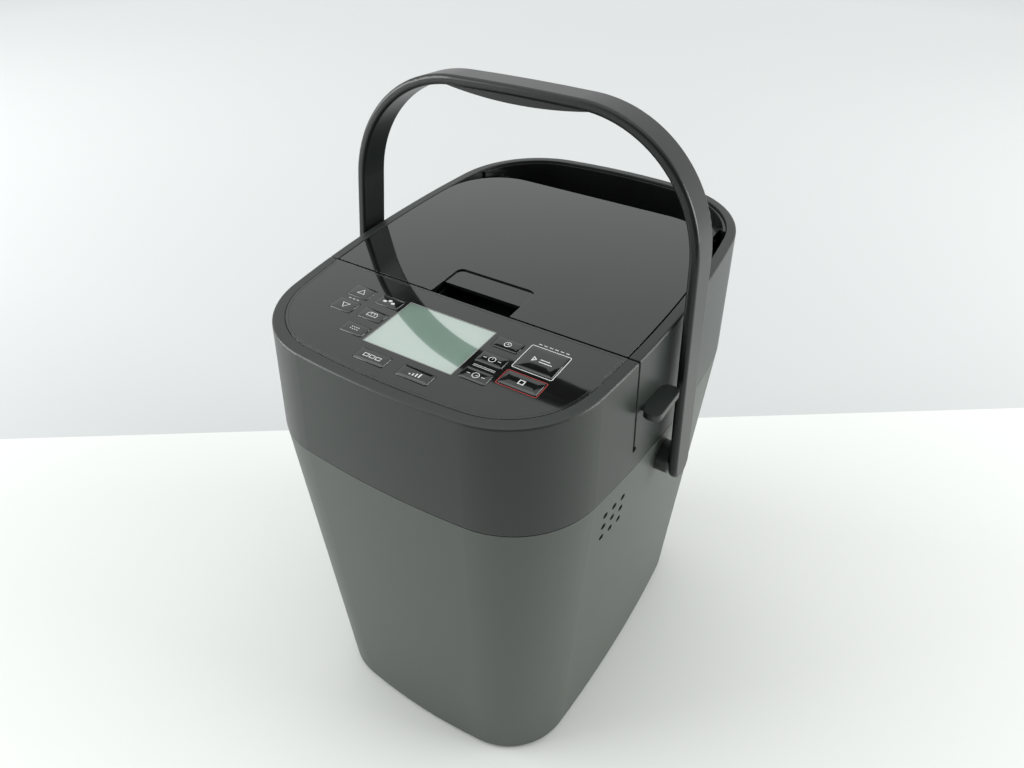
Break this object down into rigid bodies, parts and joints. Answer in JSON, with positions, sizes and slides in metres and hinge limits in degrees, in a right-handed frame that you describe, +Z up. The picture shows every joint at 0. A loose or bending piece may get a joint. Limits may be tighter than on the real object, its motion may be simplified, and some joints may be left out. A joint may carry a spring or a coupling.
{
  "type": "bread machine",
  "caption": "Tall rounded bread machine with a sloping top, a keyed control panel, a hinged lid, a folding carrying handle, and a removable pan with a driven kneading blade.",
  "frame": {"origin": "on the floor, in the middle of the bounding box", "axes": "+Z up, -Y towards the user at the control panel, +X to the right of a person facing the panel"},
  "size_m": [0.2618, 0.3047, 0.4403],
  "materials": {
    "casing_plastic": "fine matte texture",
    "band_plastic": "satin",
    "handle_plastic": "satin gloss",
    "grip_plastic": "fine matte texture",
    "lid_gloss": "high gloss",
    "panel_plastic": "gloss",
    "film": "gloss printed film",
    "key_black": "gloss",
    "key_large": "gloss",
    "lcd_glass": "clear",
    "lcd_grey": "matte",
    "lid_inner": "satin",
    "dispenser_plastic": "satin",
    "plate_aluminium": "brushed",
    "seal_rubber": "matte",
    "foot_rubber": "matte",
    "belt_rubber": "matte",
    "steel": "plain",
    "chamber_steel": "satin",
    "heater_steel": "matte dark",
    "sensor_steel": "plain",
    "pan_coating": "non-stick satin",
    "blade_coating": "non-stick satin",
    "pan_steel": "bright",
    "brass_bush": "plain",
    "cast_aluminium": "cast",
    "pulley_plastic": "matte",
    "motor_enamel": "satin",
    "sheet_steel": "galvanised",
    "circuit_board": "satin",
    "component_black": "matte"
  },
  "bodies": {
    "casing": {"lower_casing": "casing_plastic", "base_plate": "casing_plastic", "upper_casing": "band_plastic", "handle_pivots": "band_plastic", "handle_stops": "band_plastic", "hinge_cover": "band_plastic", "mouth_frame": "band_plastic", "control_panel": "panel_plastic", "panel_film": "film", "lcd_window": "lcd_glass", "lcd_module": "lcd_grey", "feet": "foot_rubber", "cord_grommet": "foot_rubber", "belt": "belt_rubber", "base_screws": "steel", "hinge_pins": "steel", "baking_chamber": "chamber_steel", "heater": "heater_steel", "temperature_sensor": "sensor_steel", "bearing_housing": "cast_aluminium", "motor": "motor_enamel", "chassis": "sheet_steel", "heat_shield": "sheet_steel", "control_board": "circuit_board", "power_board": "circuit_board", "buzzer": "component_black"},
    "lid": {"lid_panel": "lid_gloss", "lid_frame": "lid_inner", "lid_grip": "lid_gloss", "lid_plate": "plate_aluminium", "lid_seal": "seal_rubber", "raisin_box": "dispenser_plastic", "yeast_box": "dispenser_plastic", "flap_solenoid": "component_black"},
    "raisin_door": {"raisin_flap": "dispenser_plastic"},
    "yeast_door": {"yeast_flap": "dispenser_plastic"},
    "main_handle": {"carrying_handle": "handle_plastic", "handle_grip": "grip_plastic"},
    "pan": {"bread_pan": "pan_coating", "pan_bush": "brass_bush"},
    "pan_bail": {"pan_handle": "pan_steel"},
    "blade": {"kneading_blade": "blade_coating", "pan_shaft": "pan_steel"},
    "drive": {"drive_shaft": "steel", "drive_coupling": "cast_aluminium", "large_pulley": "pulley_plastic"},
    "rotor": {"motor_pulley": "cast_aluminium"},
    "key_up_cap": {"key_up": "key_black"},
    "key_down_cap": {"key_down": "key_black"},
    "key_raisin_cap": {"key_raisin": "key_black"},
    "key_crust_cap": {"key_crust": "key_black"},
    "key_yeast_cap": {"key_yeast": "key_black"},
    "key_process_cap": {"key_process": "key_black"},
    "key_level_cap": {"key_level": "key_black"},
    "key_timer_cap": {"key_timer": "key_black"},
    "key_hour_cap": {"key_hour": "key_black"},
    "key_minute_cap": {"key_minute": "key_black"},
    "key_start_cap": {"key_start": "key_large"},
    "key_cancel_cap": {"key_cancel": "key_large"}
  },
  "joints": [
    {"name": "lid_hinge", "type": "hinge", "parent": "casing", "child": "lid", "pos_m": [0, 0.1074, 0.32369], "axis": [-1, 0, 0], "range_deg": [0, 28]},
    {"name": "raisin_flap_hinge", "type": "hinge", "parent": "lid", "child": "raisin_door", "pos_m": [0, -0.02419, 0.28901], "axis": [-1, 0, 0], "range_deg": [0, 75]},
    {"name": "yeast_flap_hinge", "type": "hinge", "parent": "lid", "child": "yeast_door", "pos_m": [0.0665, -0.02419, 0.28901], "axis": [-1, 0, 0], "range_deg": [0, 75]},
    {"name": "carrying_handle_hinge", "type": "hinge", "parent": "casing", "child": "main_handle", "pos_m": [0, -0.0125, 0.2285], "axis": [-1, 0, 0], "range_deg": [0, 90]},
    {"name": "pan_twist", "type": "hinge", "parent": "casing", "child": "pan", "pos_m": [0, 0.021, 0.062], "axis": [0, 0, 1], "range_deg": [0, 10]},
    {"name": "pan_handle_hinge", "type": "hinge", "parent": "pan", "child": "pan_bail", "pos_m": [0, 0.021, 0.2322], "axis": [1, 0, 0], "range_deg": [0, 90]},
    {"name": "drive_spin", "type": "hinge", "parent": "casing", "child": "drive", "pos_m": [0, 0.021, 0.022], "axis": [0, 0, 1], "continuous": true},
    {"name": "blade_spin", "type": "hinge", "parent": "pan", "child": "blade", "pos_m": [0, 0.021, 0.071], "axis": [0, 0, 1], "continuous": true},
    {"name": "motor_spin", "type": "hinge", "parent": "casing", "child": "rotor", "pos_m": [0, -0.097, 0.022], "axis": [0, 0, 1], "continuous": true},
    {"name": "key_up_press", "type": "slide", "parent": "casing", "child": "key_up_cap", "axis": [0, 0.0624, -0.998], "range_m": [0, 0.0005], "stiffness_N_per_m": 800},
    {"name": "key_down_press", "type": "slide", "parent": "casing", "child": "key_down_cap", "axis": [0, 0.0624, -0.998], "range_m": [0, 0.0005], "stiffness_N_per_m": 800},
    {"name": "key_raisin_press", "type": "slide", "parent": "casing", "child": "key_raisin_cap", "axis": [0, 0.0624, -0.998], "range_m": [0, 0.0005], "stiffness_N_per_m": 800},
    {"name": "key_crust_press", "type": "slide", "parent": "casing", "child": "key_crust_cap", "axis": [0, 0.0624, -0.998], "range_m": [0, 0.0005], "stiffness_N_per_m": 800},
    {"name": "key_yeast_press", "type": "slide", "parent": "casing", "child": "key_yeast_cap", "axis": [0, 0.0624, -0.998], "range_m": [0, 0.0005], "stiffness_N_per_m": 800},
    {"name": "key_process_press", "type": "slide", "parent": "casing", "child": "key_process_cap", "axis": [0, 0.0624, -0.998], "range_m": [0, 0.0005], "stiffness_N_per_m": 800},
    {"name": "key_level_press", "type": "slide", "parent": "casing", "child": "key_level_cap", "axis": [0, 0.0624, -0.998], "range_m": [0, 0.0005], "stiffness_N_per_m": 800},
    {"name": "key_timer_press", "type": "slide", "parent": "casing", "child": "key_timer_cap", "axis": [0, 0.0624, -0.998], "range_m": [0, 0.0005], "stiffness_N_per_m": 800},
    {"name": "key_hour_press", "type": "slide", "parent": "casing", "child": "key_hour_cap", "axis": [0, 0.0624, -0.998], "range_m": [0, 0.0005], "stiffness_N_per_m": 800},
    {"name": "key_minute_press", "type": "slide", "parent": "casing", "child": "key_minute_cap", "axis": [0, 0.0624, -0.998], "range_m": [0, 0.0005], "stiffness_N_per_m": 800},
    {"name": "key_start_press", "type": "slide", "parent": "casing", "child": "key_start_cap", "axis": [0, 0.0624, -0.998], "range_m": [0, 0.0005], "stiffness_N_per_m": 800},
    {"name": "key_cancel_press", "type": "slide", "parent": "casing", "child": "key_cancel_cap", "axis": [0, 0.0624, -0.998], "range_m": [0, 0.0005], "stiffness_N_per_m": 800}
  ],
  "couplings": [
    {"joint": "blade_spin", "follows": "drive_spin", "ratio": 1},
    {"joint": "motor_spin", "follows": "drive_spin", "ratio": 4.75}
  ]
}
